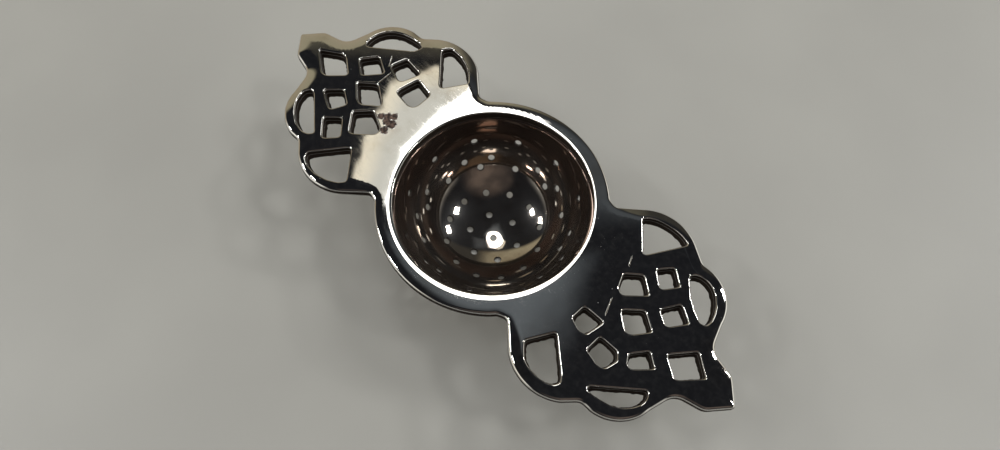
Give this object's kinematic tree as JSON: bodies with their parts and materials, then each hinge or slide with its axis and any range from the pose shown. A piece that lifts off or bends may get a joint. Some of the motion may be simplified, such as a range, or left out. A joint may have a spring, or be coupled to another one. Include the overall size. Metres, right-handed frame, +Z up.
{
  "type": "tea strainer",
  "caption": "Two-handled over-the-cup tea strainer: a flat plated casting with lobed, pierced lattice handles, and a perforated half-round bowl soldered under its ring.",
  "frame": {"origin": "centre of the small flat foot under the bowl, where the strainer stands on a table", "axes": "+X along the handles towards the handle at the picture's lower right, +Z up out of the bowl, +Y across the bowl"},
  "size_m": [0.1534, 0.0608, 0.0268],
  "materials": {
    "plated_casting": "polished silver plate, worn and lightly scratched",
    "plated_bowl": "polished silver plate, spun",
    "soft_solder": "dull tin solder"
  },
  "bodies": {
    "root": {"frame": "plated_casting", "strainer_bowl": "plated_bowl", "solder_seam": "soft_solder"}
  },
  "joints": []
}
